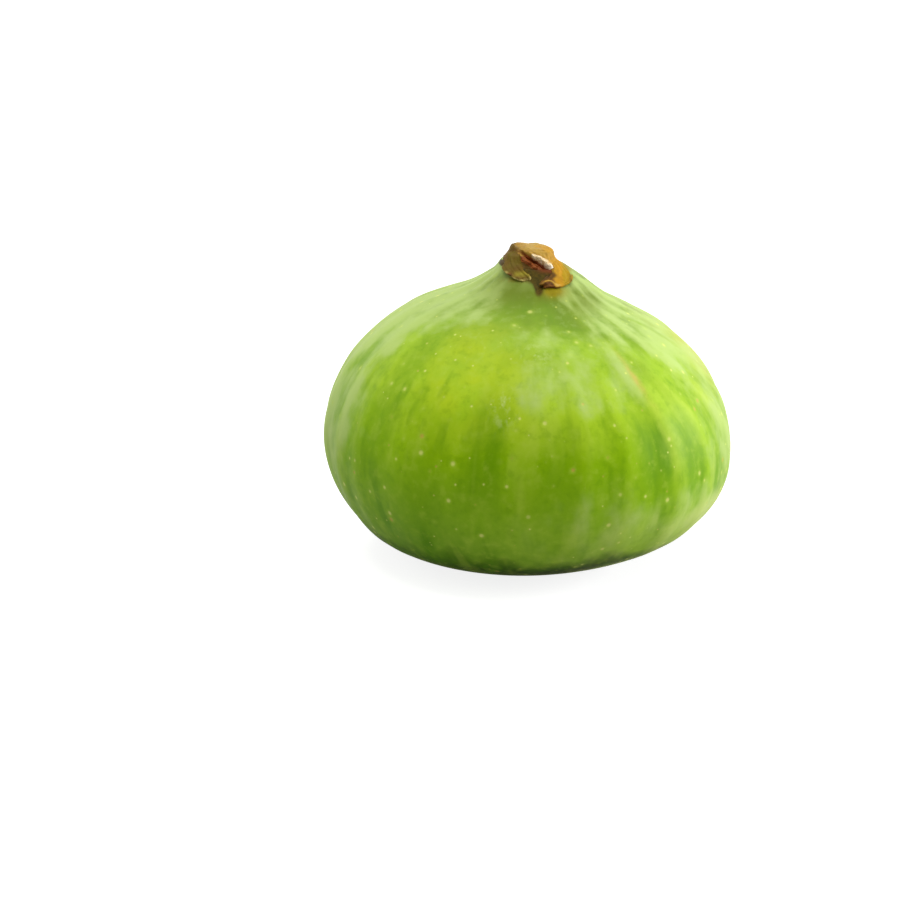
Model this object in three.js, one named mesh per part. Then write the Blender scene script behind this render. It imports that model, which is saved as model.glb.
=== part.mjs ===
// A whole green fig resting on its base, with the torn end of its stalk and three dried bracts at the neck.
// Millimetres, +Z up. The front of the fig faces -Y, and azimuths are counted from the front towards +X.
// A point is described upright, as [radius, height] about the fig's own axis, and place() leans it over.
import * as THREE from "three";

// ---- Driving dimensions ----

const BELLY_RADIUS = 27.1;
const BELLY_HEIGHT = 13.5;
const NECK_RADIUS = 4.25; // where the green skin ends and the stalk begins
const NECK_HEIGHT = 39.9;
const STALK_TOP = 42.25;

const BODY_TILT = 5.8; // degrees towards +X, from the middle of the fig up
const BASE_TILT = -1.7; // and at its base, which has sagged back on to the surface
const TILT_PIVOT = 17; // height of the pivot inside the belly
const NECK_LEAN = -1.15; // the neck grows back against the tilt, towards -X
const NECK_LEAN_CLIMB = [30, 41]; // heights between which it does so
const STALK_LEAN = -1.05; // and the stalk still more
const STALK_LEAN_CLIMB = [38, 41];
const SETTLE = 0.5; // how softly the base spreads into its flat resting face

const GAP = 0.3; // clearance between neighbouring pieces

// Half of the fig cut lengthways, from the eye underneath to the end of the neck.
const BODY_OUTLINE = [
  [0, 1.0], // floor of the eye
  [1.8, 0.7],
  [4.2, -1.4], // lip of the eye, flattened where it rests
  [11, -0.1],
  [21.8, 4.3],
  [BELLY_RADIUS, BELLY_HEIGHT],
  [25.1, 23.7],
  [18.2, 31.5], // shoulder
  [8.8, 36.3], // foot of the neck
  [NECK_RADIUS, NECK_HEIGHT],
];
const BODY_SEGMENTS = 90;
const BODY_RINGS_PER_SPAN = 4;
const BELLY_OVAL = 0.006; // how far the belly is from round, as a share of its radius

// Long ribs under the skin, as [azimuth at the belly, how far they stand out, half width in degrees].
const RIBS = [
  [-170, 0.24, 6], [-155, 0.18, 5], [-141, 0.28, 6], [-126, 0.2, 6], [-112, 0.26, 6], [-98, 0.2, 5],
  [-84, 0.3, 5], [-68, 0.26, 4.5], [-57, 0.18, 4], [-38, 0.16, 7], [-18, 0.14, 4.5], [-2, 0.2, 6],
  [14, 0.14, 4], [28, 0.18, 5], [46, 0.32, 5.5], [61, 0.28, 5], [78, 0.27, 5.5], [93, 0.22, 5],
  [107, 0.28, 6], [121, 0.2, 5], [136, 0.26, 6], [150, 0.2, 6], [168, 0.26, 6],
];
const RIBS_RISE = [0.5, 9]; // heights between which the ribs grow out of the base
const RIBS_FALL = [37, 39.5]; // and fade into the neck
const RIB_SWIRL = 30; // degrees by which the ribs on the +X side turn back as they climb to the neck
const RIB_SWIRL_CLIMB = [20, 38]; // heights between which they turn
const RIB_SWIRL_AZIMUTH = 75;
const RIB_SWIRL_SPREAD = 50;

// The stalk's outline above the joint.
const STALK_OUTLINE = [
  [3.7, NECK_HEIGHT + GAP],
  [3.15, 40.9],
  [2.85, 41.55],
  [2.5, 42],
  [1.5, 42.22],
  [0, STALK_TOP],
];
const STALK_SEGMENTS = 48;
const STALK_RINGS_PER_SPAN = 3;
const STALK_SIDE = [1, 2.4]; // radii between which the stalk's top turns into its side
// The torn opening across the front of the stalk, a long hollow that falls towards +X between two lips.
const TEAR = { azimuth: -4, height: 41.1, length: 5.2, width: 1.2, slope: -31, depth: 0.6, lip: 0.2 };
const TEAR_LIP_AT = 1.7; // how far out a lip stands, in half widths of the opening

// Dried scales that clasp the neck. Azimuth of a scale's middle, half the angle it spans, and height are
// each given at its root and at its tip. Sweep is the power by which the azimuth changes on the way.
// Curl is how far the free edge stands off the skin, and curlAt where between the scale's sides (-1 to 1)
// it does so most.
const BRACTS = {
  bract_left: {
    azimuth: [-58, -25], halfAngle: [25, 25], height: [41.2, 38.4], sweep: 1, curl: 0.3, curlAt: -0.2,
  },
  bract_right: {
    azimuth: [70, 9], halfAngle: [23, 28], height: [40.6, 38], sweep: 1.5, curl: 0.4, curlAt: -0.6,
  },
  bract_back: {
    azimuth: [174, 178], halfAngle: [32, 28], height: [40.8, 38], sweep: 1, curl: 0.35, curlAt: 0,
  },
};
const BRACT_CORNER = 0.35; // how much less far a scale reaches down at its corners than in its middle
const BRACT_ROUNDING = 2.5; // power by which the reach falls off towards the corners
const BRACT_CURL_SPREAD = 0.6; // half width of the curled stretch, where the scale's own is 1
const BRACT_THICKNESS = 0.35;
const BRACT_OUTWARD = 40; // degrees above the level of the way in which a scale's faces lie apart
const BRACT_COLUMNS = 20;
const BRACT_ROWS = 10;
const CLASP_STEPS = 100; // how finely the outline is followed to find what a scale lies on
const ON_AXIS = 1e-6; // a ring with a smaller radius than this is a single point

// ---- Helpers ----

const radians = THREE.MathUtils.degToRad;
const smooth = THREE.MathUtils.smoothstep;
const lerp = THREE.MathUtils.lerp;

// A curve through the stations of an outline.
function curveThrough(stations) {
  return new THREE.SplineCurve(stations.map(([radius, height]) => new THREE.Vector2(radius, height)));
}

// The angle between two azimuths the short way round, in degrees.
function turn(from, to) {
  return ((((to - from + 180) % 360) + 360) % 360) - 180;
}

function bell(distance) {
  return Math.exp(-distance * distance);
}

// Closed surface through rings of points, listed anticlockwise from above and from the lowest ring up.
// An end may be a single point. Otherwise its ring has an even number of points, and is closed by joining
// those counted from its start to those counted from its end, so a long thin ring is closed as a strip.
function loft(rings) {
  const points = [];
  const triangles = [];
  const levels = rings.map((ring) => ring.map((point) => points.push(point) - 1));
  const addQuad = (a, b, c, d) => triangles.push(a, b, c, a, c, d);
  const closeEnd = (ring) => {
    for (let i = 0, j = ring.length - 1; i + 1 < j; i++, j--) {
      addQuad(ring[i], ring[i + 1], ring[j - 1], ring[j]);
    }
  };
  for (let k = 0; k + 1 < levels.length; k++) {
    const [low, high] = [levels[k], levels[k + 1]];
    const count = Math.max(low.length, high.length);
    for (let i = 0; i < count; i++) {
      const j = (i + 1) % count;
      if (low.length === 1) triangles.push(low[0], high[j], high[i]);
      else if (high.length === 1) triangles.push(low[i], low[j], high[0]);
      else addQuad(low[i], low[j], high[j], high[i]);
    }
  }
  closeEnd(levels[0].toReversed());
  closeEnd(levels.at(-1));
  const geometry = new THREE.BufferGeometry().setFromPoints(points);
  geometry.setIndex(triangles);
  geometry.computeVertexNormals();
  return geometry;
}

// The closed skin swept out by an outline of [radius, height] stations.
function turned(outline, ringsPerSpan, segments, pointAt) {
  const stations = curveThrough(outline).getPoints(ringsPerSpan * (outline.length - 1));
  const rings = stations.map(({ x: radius, y: height }) => {
    if (radius < ON_AXIS) return [pointAt(0, height, 0)];
    return Array.from({ length: segments }, (_, i) => pointAt(radius, height, (360 * i) / segments));
  });
  return loft(rings);
}

// ---- Where a point comes to lie ----

// Flat at 0 below the floor, and blending into the free height above it.
function settle(z) {
  if (z <= -SETTLE) return 0;
  if (z >= SETTLE) return z;
  return (z + SETTLE) ** 2 / (4 * SETTLE);
}

// From the upright description to the leaning fig.
function place(radius, height, azimuth) {
  const angle = radians(azimuth);
  const tilt = radians(BASE_TILT + (BODY_TILT - BASE_TILT) * smooth(height, 0, TILT_PIVOT));
  const across = radius * Math.sin(angle);
  const up = height - TILT_PIVOT;
  const neckLean = NECK_LEAN * smooth(height, ...NECK_LEAN_CLIMB);
  const stalkLean = STALK_LEAN * smooth(height, ...STALK_LEAN_CLIMB);
  return new THREE.Vector3(
    across * Math.cos(tilt) + up * Math.sin(tilt) + neckLean + stalkLean,
    -radius * Math.cos(angle),
    settle(TILT_PIVOT - across * Math.sin(tilt) + up * Math.cos(tilt)),
  );
}

// ---- The fruit ----

function ribRelief(azimuth, height) {
  const climb = smooth(height, ...RIB_SWIRL_CLIMB);
  const fade = smooth(height, ...RIBS_RISE) * (1 - smooth(height, ...RIBS_FALL));
  const relief = RIBS.reduce((sum, [middle, size, halfWidth]) => {
    const swirl = RIB_SWIRL * bell(turn(RIB_SWIRL_AZIMUTH, middle) / RIB_SWIRL_SPREAD) * climb;
    return sum + size * bell(turn(middle - swirl, azimuth) / halfWidth);
  }, 0);
  return relief * fade;
}

function skinPoint(radius, height, azimuth) {
  const angle = radians(azimuth);
  const round = 1 + BELLY_OVAL * (Math.cos(2 * angle + 1) + Math.cos(3 * angle));
  const relief = radius > 0 ? ribRelief(azimuth, height) : 0;
  return place(radius * round + relief, height, azimuth);
}

function fruitGeometry() {
  return turned(BODY_OUTLINE, BODY_RINGS_PER_SPAN, BODY_SEGMENTS, skinPoint);
}

// ---- The stalk ----

// How far the torn opening sinks into the stalk, and its lips stand out of it.
function tearRelief(radius, height, azimuth) {
  const slope = radians(TEAR.slope);
  const along = radians(turn(TEAR.azimuth, azimuth)) * radius;
  const above = height - TEAR.height;
  const lengthwise = (along * Math.cos(slope) + above * Math.sin(slope)) / (TEAR.length / 2);
  const across = (above * Math.cos(slope) - along * Math.sin(slope)) / (TEAR.width / 2);
  const within = bell(lengthwise * lengthwise);
  const lips = bell(TEAR_LIP_AT * (Math.abs(across) - TEAR_LIP_AT));
  return within * (TEAR.lip * lips - TEAR.depth * bell(across));
}

function stalkPoint(radius, height, azimuth) {
  const onSide = smooth(radius, ...STALK_SIDE) * smooth(height, NECK_HEIGHT + GAP, NECK_HEIGHT + 2 * GAP);
  return place(radius + onSide * tearRelief(radius, height, azimuth), height, azimuth);
}

function stalkGeometry() {
  return turned(STALK_OUTLINE, STALK_RINGS_PER_SPAN, STALK_SEGMENTS, stalkPoint);
}

// ---- The bracts ----

// The outline of what the bracts clasp: the neck, and above it the stalk.
const claspedOutline = curveThrough([...BODY_OUTLINE.slice(-3), ...STALK_OUTLINE.slice(1, 4)]);
const claspedStations = claspedOutline.getPoints(CLASP_STEPS);

function claspedRadius(height) {
  const next = claspedStations.findIndex((station) => station.y > height);
  const [below, above] = [claspedStations[next - 1], claspedStations[next]];
  return THREE.MathUtils.mapLinear(height, below.y, above.y, below.x, above.x);
}

function bractGeometry(shape) {
  const outward = radians(BRACT_OUTWARD);
  const face = (standOff) =>
    Array.from({ length: BRACT_ROWS + 1 }, (_, row) => {
      const down = 1 - row / BRACT_ROWS;
      return Array.from({ length: BRACT_COLUMNS + 1 }, (_, column) => {
        const side = (2 * column) / BRACT_COLUMNS - 1;
        const drop = down * (1 - BRACT_CORNER * Math.abs(side) ** BRACT_ROUNDING);
        const height = lerp(...shape.height, drop);
        const azimuth = lerp(...shape.azimuth, drop ** shape.sweep) + lerp(...shape.halfAngle, drop) * side;
        const off = standOff + shape.curl * down ** 2 * bell((side - shape.curlAt) / BRACT_CURL_SPREAD);
        const radius = claspedRadius(height) + off * Math.cos(outward);
        return place(radius, height + off * Math.sin(outward), azimuth);
      });
    });
  const inner = face(GAP);
  const outer = face(GAP + BRACT_THICKNESS);
  // Each ring runs along the outer face, and back along the inner one.
  return loft(outer.map((row, k) => [...row, ...inner[k].toReversed()]));
}

// ---- Materials and assembly ----

const skin = new THREE.MeshStandardMaterial({ color: 0x8fb83a, roughness: 0.45, metalness: 0 });
const driedStalk = new THREE.MeshStandardMaterial({ color: 0xb98a45, roughness: 0.7, metalness: 0 });
const driedBract = new THREE.MeshStandardMaterial({ color: 0x7a5f33, roughness: 0.75, metalness: 0 });

const fig = new THREE.Group();

function addPiece(name, geometry, material) {
  const mesh = new THREE.Mesh(geometry, material);
  mesh.name = name;
  fig.add(mesh);
}

addPiece("fig_fruit", fruitGeometry(), skin);
addPiece("stalk_stub", stalkGeometry(), driedStalk);
for (const [name, shape] of Object.entries(BRACTS)) {
  addPiece(name, bractGeometry(shape), driedBract);
}

// The origin lies on the resting face, under the middle of the fig's own box.
const middle = new THREE.Box3().setFromObject(fig).getCenter(new THREE.Vector3());
fig.position.set(-middle.x, -middle.y, 0);

export default fig;
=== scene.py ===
"""A whole ripe green fig with its torn stalk and dried bracts, dressed for close views.

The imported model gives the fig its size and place. Here each piece is made again as a fine mesh with a
procedural finish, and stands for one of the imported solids. Shapes are worked out in millimetres about the
fig's own upright axis, as radius, height and azimuth, and put_in_place() leans them into position. An
azimuth is counted in degrees from the front of the fig, which faces -Y, towards +X.
"""

import math

import bpy
import numpy as np
from bpy.props import FloatProperty, FloatVectorProperty, IntProperty, PointerProperty
from bpy.types import Operator, Panel, PropertyGroup
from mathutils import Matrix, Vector


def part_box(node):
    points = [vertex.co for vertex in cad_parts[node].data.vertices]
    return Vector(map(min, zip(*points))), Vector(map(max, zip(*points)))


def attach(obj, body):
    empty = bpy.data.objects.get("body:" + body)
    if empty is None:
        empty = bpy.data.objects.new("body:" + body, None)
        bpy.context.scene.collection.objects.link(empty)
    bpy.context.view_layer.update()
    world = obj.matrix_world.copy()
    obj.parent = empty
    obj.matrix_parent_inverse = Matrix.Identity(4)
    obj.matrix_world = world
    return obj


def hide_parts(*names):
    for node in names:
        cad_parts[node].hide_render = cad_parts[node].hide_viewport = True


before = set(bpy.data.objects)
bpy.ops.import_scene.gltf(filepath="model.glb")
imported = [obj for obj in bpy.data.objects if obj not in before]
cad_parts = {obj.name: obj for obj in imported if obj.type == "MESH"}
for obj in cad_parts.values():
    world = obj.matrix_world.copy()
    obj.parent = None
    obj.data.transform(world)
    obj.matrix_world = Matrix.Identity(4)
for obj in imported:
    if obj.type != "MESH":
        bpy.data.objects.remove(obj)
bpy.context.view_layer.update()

bl_info = {
    "name": "Green Fig",
    "version": (1, 0, 0),
    "blender": (4, 5, 0),
    "location": "3D View > Sidebar > Fig",
    "description": "Makes a whole green fig with its torn stalk and dried bracts, and a plain stage for it",
    "category": "Add Mesh",
}

MM = 0.001
FRUIT_LOW, FRUIT_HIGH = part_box("fig_fruit")

# ---- The fig's form, in millimetres and degrees ----

NECK_RADIUS = 4.25
NECK_HEIGHT = 39.9
STALK_TOP = 42.25

# The fig tilts towards +X about a point on its axis, and its base a little the other way. Above the heights
# given here, its neck and stalk lean back.
BODY_TILT = 5.8
BASE_TILT = -1.7
TILT_PIVOT = 17
NECK_LEAN = -1.15
NECK_LEAN_FROM = 30
STALK_LEAN = -1.05
STALK_LEAN_FROM = 38
LEAN_TO = 41
SETTLE = 0.5  # skin nearer to the floor than this is bent to rest on it

# Half of the fig cut lengthways, as (radius, height), from the eye underneath to the end of the neck.
BODY_OUTLINE = [
    (0, 1), (1.8, 0.7), (4.2, -1.4), (11, -0.1), (21.8, 4.3), (27.1, 13.5), (25.1, 23.7), (18.2, 31.5),
    (8.8, 36.3), (NECK_RADIUS, NECK_HEIGHT),
]
BODY_STEPS = 20
BELLY_OVAL = 0.006

# Folds round the eye underneath: how many, how high, at what radius, how far to each side, and up to where.
EYE_FOLDS = (9, 0.12, 2.108, 1.1, 2)

# The skin's lumps and fine threads begin between these heights.
UNEVEN_FROM = (1.5, 8)
THREAD_STRETCH = (1, 1, 0.12)

# Long ribs under the skin, as (azimuth at the belly, how far they stand out, half width in degrees).
RIBS = [
    (-170, 0.24, 6), (-155, 0.18, 5), (-141, 0.28, 6), (-126, 0.2, 6), (-112, 0.26, 6), (-98, 0.2, 5),
    (-84, 0.3, 5), (-68, 0.26, 4.5), (-57, 0.18, 4), (-38, 0.16, 7), (-18, 0.14, 4.5), (-2, 0.2, 6),
    (14, 0.14, 4), (28, 0.18, 5), (46, 0.32, 5.5), (61, 0.28, 5), (78, 0.27, 5.5), (93, 0.22, 5),
    (107, 0.28, 6), (121, 0.2, 5), (136, 0.26, 6), (150, 0.2, 6), (168, 0.26, 6),
]
RIB_FULL_HEIGHT = 0.38
RIBS_RISE = (0.5, 9)
RIBS_FALL = (37, 39.5)

# Towards the neck the ribs on the right swirl round: by how much, between which heights, and about where.
RIB_SWIRL = 30
RIB_SWIRL_CLIMB = (20, 38)
RIB_SWIRL_AZIMUTH = 75
RIB_SWIRL_SPREAD = 50

# Where the skin's tone is deeper between the ribs, as (azimuth at the belly, strength, lowest and highest
# height). It deepens slowly towards each azimuth, and ends quickly at the flank of the next rib, so that it
# is partly the skin's darker stripes and partly painted shade on the rib flanks that face away from the
# light.
SHADED_VALLEYS = [
    (-162, 0.5, 14, 30), (-148, 0.7, 12, 27), (-133, 0.4, 15, 32), (-119, 0.7, 13, 28), (-105, 0.5, 15, 30),
    (-91, 0.4, 14, 26), (-76, 0.75, 15, 31), (-62, 0.3, 16, 29), (-49, 0.4, 18, 33), (-30, 0.2, 10, 22),
    (-14, 0.6, 15, 27), (7, 0.4, 16, 24), (21, 0.3, 17, 24), (37, 0.9, 17, 26), (53, 0.6, 15, 24),
    (69, 0.6, 12, 28), (85, 0.6, 14, 30), (100, 0.4, 13, 27), (114, 0.7, 12, 29), (128, 0.5, 15, 31),
    (143, 0.6, 14, 27), (159, 0.5, 12, 29), (179, 0.6, 13, 28),
]
VALLEY_SIDES = (-9, -2, 3.5, 7)
VALLEY_FADE = (-4, 3)

# Soft oval patches of the skin, as (strength, azimuth, half width, height, half height). Bare ones have less
# bloom, low ones have more and also paint light on the lower skin, and the darker ones are painted shade:
# low on the left, at the front of the neck and on the right side.
PATCHES = {
    "bare": [
        (0.95, -10, 18, 36, 2), (0.7, 18, 17, 35.2, 2.2), (0.8, -27, 17, 29.5, 4.5), (0.3, 49, 11, 25, 6),
    ],
    # Partly painted light: the low patches lighten the lower right and middle as the side light does.
    "low right light": [(0.9, 76, 34, 9, 9)],
    "low middle light": [(0.5, 23, 26, 10, 7)],
    # Painted shade: darker low on the left, at the front of the neck and on the right side.
    "dim": [(1, -38, 34, 5, 7), (0.55, -15, 12, 36, 1.5), (0.65, 47, 8, 23.5, 5), (0.25, -42, 13, 26, 5)],
    "warm": [(1, -27, 23, 28.5, 5.5), (0.5, 72, 8, 26, 3)],
    # Flecks of thick wax, which also paint small highlights on the front.
    "crust": [(1, -11, 3.5, 25.8, 2), (0.8, -3, 5, 31.7, 1)],
    "scar": [(1, 45, 1.8, 29.4, 2.2)],
    "blush": [(1, 92, 13, 29.5, 4)],
}

# The same on the front of the neck, as (strength, right, half width, up, half height), seen from the front.
# The dried patches are painted shade under the stalk's torn lip and the right bract's curl, partly a dark
# sap run, coloured as dried skin.
NECK_PATCHES = {
    "dried": [(1.8, 1.3, 1.8, 36.6, 1.2), (1, 1.2, 0.6, 34.7, 1.2)],
    "torn": [(1.1, 2.1, 1.05, 37.05, 0.34)],
    "dull": [(1, -1.2, 4.6, 34.4, 2.6), (0.75, 7.3, 2.4, 33, 2)],
    # Painted shadow: a rusty dark line just under the left bract's edge.
    "rust": [(1, -1.5, 1.7, 35.85, 0.4)],
    "sap": [(1.5, 3.1, 1.5, 34.3, 0.85)],
}

# How strongly each place is covered. The left, shoulder and right places are partly painted light: a pale
# rim reflection at the edges and sheen on the lit shoulder.
BLOOM_AND_LIGHT_STRENGTH = {"neck": 0.75, "left": 0.85, "shoulder": 0.66, "right": 0.75, "front": 0.5}
LEFT_BLOOM_AND_RIM_AZIMUTH = -95
SHOULDER_BLOOM_AND_SHEEN_AZIMUTH = 100

# The end of the neck has dried, except towards its sunny side, as azimuths.
NECK_END = (39.2, 39.7)
UNDRIED_AZIMUTH = -120
SUNNY_FROM = (40, 65)
SUNNY_TO = (150, 175)

# The stalk's outline above the joint.
STALK_OUTLINE = [
    (4.15, 39.7), (3.85, 40.2), (3.25, 40.9), (2.9, 41.55), (2.5, 42), (1.5, 42.22), (0, STALK_TOP),
]
STALK_STEPS = 16
STALK_SEGMENTS = 260

# A splinter and a dent on the stalk's left edge, as (height, azimuth, half width, radius, half depth).
SPLINTER = (0.5, -80, 16, 2.75, 0.32)
DENT = (-0.14, -85, 30, 2.1, 0.4)

# The torn opening across the front of the stalk: where its middle is seen from the front, right of the fig's
# middle and up, and how it slopes.
VIEW_DOWN = 16
TEAR_MIDDLE = (1.2, 38)
TEAR_SLOPE = -33
TEAR_HALF_LENGTH = 2.75
TEAR_HALF_WIDTH = 0.24
TEAR_BULGE = 0.12
TEAR_DEPTH = 0.5
LIP_HEIGHT = 0.24
LIP_WAY = (0.82, 0.57)  # outwards and upwards

# Smooth random relief, as (height, seed, shortest and longest wave, number of waves).
WAVES = {
    "skin lumps": (1, 5, 11, 26, 28),
    "skin threads": (0.01, 8, 1.6, 3.2, 28),
    "stalk grit": (0.045, 11, 0.5, 1.5, 40),
    "stalk lumps": (0.09, 12, 1.5, 4, 28),
    "tear edges": (0.12, 13, 1.2, 3, 28),
    "tear fibres": (0.16, 14, 0.6, 1.8, 40),
    "lip fray": (0.45, 15, 0.3, 0.9, 40),
    "bract edge": (0.025, 20, 0.8, 2.6, 20),
    "bract crinkle": (0.06, 30, 0.9, 2.6, 28),
    "bract marks": (0.12, 32, 0.8, 2.4, 28),
}


def smooth(value, low, high):
    """0 up to low, 1 from high, and an even S between them."""
    share = np.clip((np.asarray(value, float) - low) / (high - low), 0, 1)
    return share * share * (3 - 2 * share)


def bell(distance):
    """1 at a distance of 0, and next to nothing from 2."""
    return np.exp(-np.square(distance))


def turn(start, end):
    """The angle between two azimuths the short way round."""
    return (end - start + 180) % 360 - 180


def curve_through(stations, steps):
    """Points of a smooth curve through the stations, with so many steps in each span."""
    ends = np.array([stations[0], *stations, stations[-1]], float)
    spans = []
    share = np.linspace(0, 1, steps, endpoint=False)[:, None]
    for before, start, end, after in zip(ends, ends[1:], ends[2:], ends[3:]):
        leave, arrive = (end - before) / 2, (after - start) / 2
        cubic = 2 * (start - end) + leave + arrive
        square = 3 * (end - start) - 2 * leave - arrive
        spans.append(((cubic * share + square) * share + leave) * share + start)
    return np.vstack([*spans, ends[-1:]])


def settle(z):
    """Flat at 0 below the floor, and blending into the free height above it."""
    blend = (z + SETTLE) ** 2 / (4 * SETTLE)
    return np.where(z <= -SETTLE, 0, np.where(z >= SETTLE, z, blend))


def lean_into_place(radius, height, azimuth):
    """Points of the leaning fig, about the axis it stands on."""
    angle = np.radians(azimuth)
    tilt = np.radians(BASE_TILT + (BODY_TILT - BASE_TILT) * smooth(height, 0, TILT_PIVOT))
    across = radius * np.sin(angle)
    up = height - TILT_PIVOT
    lean = NECK_LEAN * smooth(height, NECK_LEAN_FROM, LEAN_TO)
    lean = lean + STALK_LEAN * smooth(height, STALK_LEAN_FROM, LEAN_TO)
    x = across * np.cos(tilt) + up * np.sin(tilt) + lean
    y = -radius * np.cos(angle)
    z = settle(TILT_PIVOT - across * np.sin(tilt) + up * np.cos(tilt))
    return np.stack([x, y, z + 0 * x], axis=-1)


def waves(points, name):
    """Smooth random relief at points in millimetres, up to about its height both ways."""
    size, seed, shortest, longest, count = WAVES[name]
    chance = np.random.default_rng(seed)
    relief = np.zeros(points.shape[:-1])
    for _ in range(count):
        direction = chance.normal(size=3)
        direction *= 2 * math.pi / (np.linalg.norm(direction) * chance.uniform(shortest, longest))
        relief += np.sin(points @ direction + chance.uniform(0, 2 * math.pi))
    return relief / math.sqrt(count) * size


def swirl_at(azimuth, height):
    """How far the ribs of an azimuth have swirled round at a height."""
    most = RIB_SWIRL * bell(turn(RIB_SWIRL_AZIMUTH, azimuth) / RIB_SWIRL_SPREAD)
    return most * smooth(height, *RIB_SWIRL_CLIMB)


def rib_azimuth(azimuth, height):
    """The azimuth at the belly of the rib that passes through a point."""
    return azimuth + swirl_at(azimuth, height)


def rib_relief(azimuth, height):
    """How far the long ribs stand out of the skin."""
    relief = 0
    for middle, size, half_width in RIBS:
        beside = turn(middle - swirl_at(middle, height), azimuth)
        relief = relief + size * bell(beside / half_width)
    return relief * smooth(height, *RIBS_RISE) * (1 - smooth(height, *RIBS_FALL))


def upright(radius, height, azimuth):
    """Points about the fig's own axis, before it leans."""
    angle = np.radians(azimuth)
    return np.stack(np.broadcast_arrays(radius * np.sin(angle), -radius * np.cos(angle), height), axis=-1)


def valley_tone_and_shade(azimuth, height):
    """How deep the skin's tone is between the ribs: partly darker stripes, partly painted shade on the rib
    flanks.
    """
    start, full, fall, end = VALLEY_SIDES
    under, over = VALLEY_FADE
    tone = 0
    for middle, strength, low, high in SHADED_VALLEYS:
        along = smooth(height, low + under, low + over) * (1 - smooth(height, high + under, high + over))
        beside = turn(middle - swirl_at(middle, height), azimuth)
        deep = strength * smooth(beside, start, full) * (1 - smooth(beside, fall, end)) * along
        tone = np.maximum(tone, deep)
    return tone


def patches(azimuth, height, name):
    """Soft oval patches of the skin, laid over one another."""
    return sum(
        strength * bell(np.hypot(turn(middle, azimuth) / half_width, (height - level) / half_height))
        for strength, middle, half_width, level, half_height in PATCHES[name]
    )


def bloom_and_light_cover(azimuth, height):
    """How much pale wax covers the skin: round the neck, down the left side, and in places on the right.
    Down the left and right edges, on the right shoulder and low on the right it is partly painted light: a
    pale rim reflection, sheen and light from the side.
    """
    from_front, from_right = turn(0, azimuth), turn(SHOULDER_BLOOM_AND_SHEEN_AZIMUTH, azimuth)
    waver = 3.5 * np.sin(0.5 * height + 1) + 2 * np.sin(1.3 * height)
    places = {
        "neck": smooth(height, 29.5, 35),
        # Left, shoulder and right: wax, with painted rim reflection and sheen where the fig's edges and
        # shoulder catch the light.
        "left": smooth(np.abs(turn(LEFT_BLOOM_AND_RIM_AZIMUTH, azimuth)) + waver, 50, 18) * smooth(height, 8, 16),
        "shoulder": smooth(from_right + 2.6 * (height - 20), -40, -8) * smooth(from_right, -85, -60)
        * smooth(from_right, 80, 40) * smooth(height, 14, 23),
        "right": smooth(from_front, 46, 76) * smooth(from_front, 116, 86) * smooth(height, 1.5, 5),
        "front": smooth(height, 23, 29) * smooth(np.abs(from_front), 50, 28),
    }
    cover = [BLOOM_AND_LIGHT_STRENGTH[name] * share for name, share in places.items()]
    for name in ("low right light", "low middle light"):
        cover.append(patches(azimuth, height, name) * smooth(height, 1.5, 5))
    return np.clip(np.maximum.reduce(cover) - patches(azimuth, height, "bare"), 0, 1)


def grid_of(stations, segments):
    """Radius, height and azimuth of a turned grid, one row for each station."""
    azimuth = np.arange(segments) * 360 / segments
    radius, height = stations[:, 0], stations[:, 1]
    return np.broadcast_arrays(radius[:, None], height[:, None], azimuth[None, :])


def fruit_radius(radius, azimuth):
    """The outline's radius, made a little oval."""
    angle = np.radians(azimuth)
    return radius * (1 + BELLY_OVAL * (np.cos(2 * angle + 1) + np.cos(3 * angle)))


def seen_from_front(points):
    """How far right and how far up points of the placed fig lie, seen from slightly above its front."""
    down = math.radians(VIEW_DOWN)
    return points[..., 0], points[..., 2] * math.cos(down) + points[..., 1] * math.sin(down)


def on_front(points, near=0.3, far=1.6):
    """1 on the front of the stalk and 0 behind, changing between two distances in front of the axis."""
    return smooth(-points[..., 1], near, far)


def neck_patches(points, name):
    """Soft oval patches on the front of the neck, laid over one another."""
    own_right, own_up = seen_from_front(points)
    return sum(
        strength * bell(np.hypot((own_right - right) / half_width, (own_up - up) / half_height))
        for strength, right, half_width, up, half_height in NECK_PATCHES[name]
    ) * on_front(points, 0, 1.5)


def tear_place(points):
    """Distances along and across the torn opening, in millimetres, from its middle."""
    right, up = seen_from_front(points)
    slope = math.radians(TEAR_SLOPE)
    right, up = right - TEAR_MIDDLE[0], up - TEAR_MIDDLE[1]
    return right * math.cos(slope) + up * math.sin(slope), up * math.cos(slope) - right * math.sin(slope)


def tear_marks(points, waver):
    """How much a point is in the torn opening, in its pale upper lip and in its tan lower lip."""
    along, across = tear_place(points)
    across = across + waver
    front = on_front(points)
    width = TEAR_HALF_WIDTH + TEAR_BULGE * bell((along - 0.4) / 1.6)
    opening = bell((across / width) ** 2) * bell((along / TEAR_HALF_LENGTH) ** 2) * front
    upper = bell((across - width - 0.31) / 0.35) * smooth(along, -2.4, -1.1) * smooth(along, 2.6, 2) * front
    lower = bell((across + width + 0.38) / 0.36) * smooth(along, -2.7, -2) * smooth(along, 2.4, 1.4) * front
    return opening, upper, lower


def find_shift():
    """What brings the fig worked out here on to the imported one, in millimetres."""
    radius, height, azimuth = grid_of(curve_through(BODY_OUTLINE, 8), 180)
    points = lean_into_place(fruit_radius(radius, azimuth) + rib_relief(azimuth, height), height, azimuth)
    points = points.reshape(-1, 3)
    middle = (points.min(axis=0) + points.max(axis=0)) / 2
    wanted = (np.array(FRUIT_LOW) + np.array(FRUIT_HIGH)) / (2 * MM)
    return np.array([wanted[0] - middle[0], wanted[1] - middle[1], FRUIT_LOW[2] / MM])


SHIFT = find_shift()


def put_in_place(radius, height, azimuth):
    """Points of the standing fig, in millimetres."""
    return lean_into_place(radius, height, azimuth) + SHIFT


# ---- Meshes ----


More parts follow.
